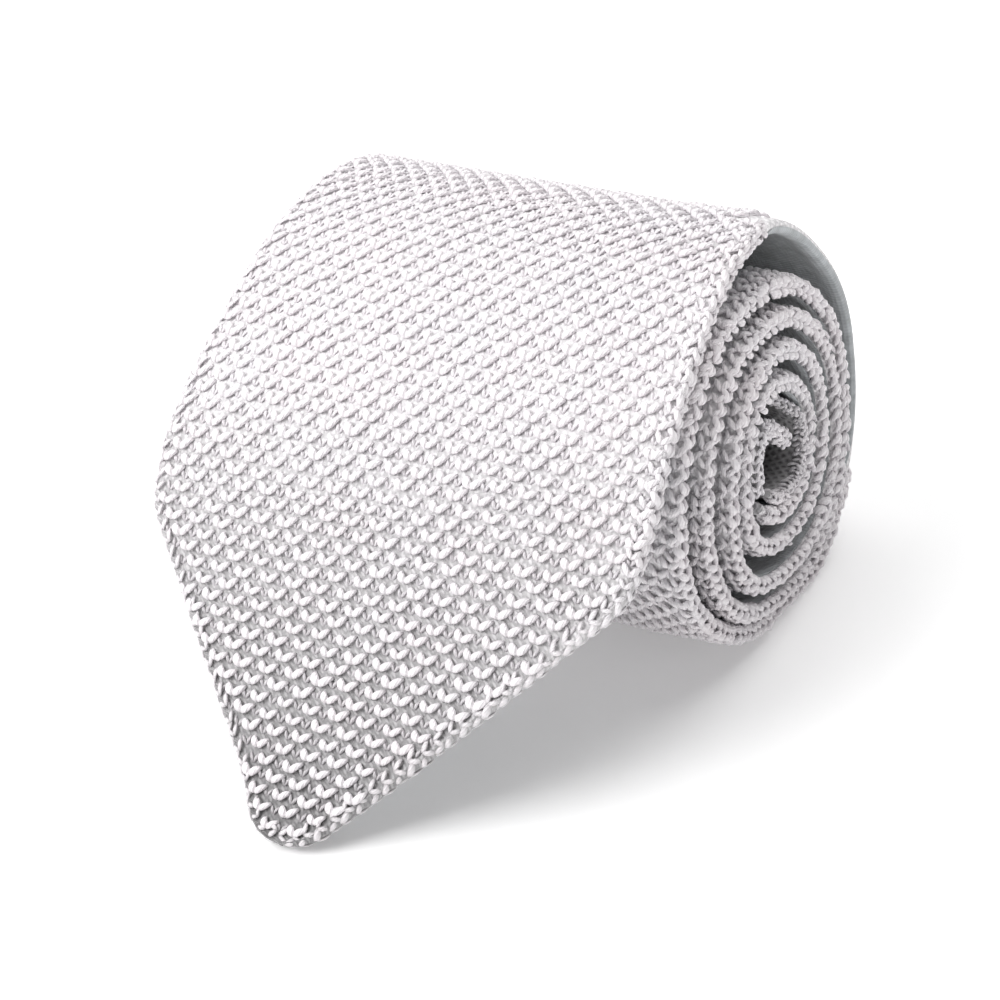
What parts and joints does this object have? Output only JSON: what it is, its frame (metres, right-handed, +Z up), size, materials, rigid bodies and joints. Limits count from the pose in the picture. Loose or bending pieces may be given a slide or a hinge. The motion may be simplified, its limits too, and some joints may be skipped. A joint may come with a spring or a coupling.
{
  "type": "rolled knit necktie",
  "caption": "White knit tie rolled up from its folded neck and resting on its side, with the pointed end of the wide half sloping down from the roll to the table.",
  "frame": {"origin": "under the middle of the tie's bounding box, at table height", "axes": "+X along the roll towards its open spiral end, +Y from the point of the tie towards the roll, +Z up"},
  "size_m": [0.0828, 0.123, 0.066],
  "materials": {
    "white_knit": "silky twisted yarn in knitted V stitches",
    "grey_facing": "smooth matte woven facing"
  },
  "bodies": {
    "root": {"knit_wide_half": "white_knit", "facing_wide_half": "grey_facing", "knit_narrow_half": "white_knit", "neck_fold": "white_knit"}
  },
  "joints": []
}
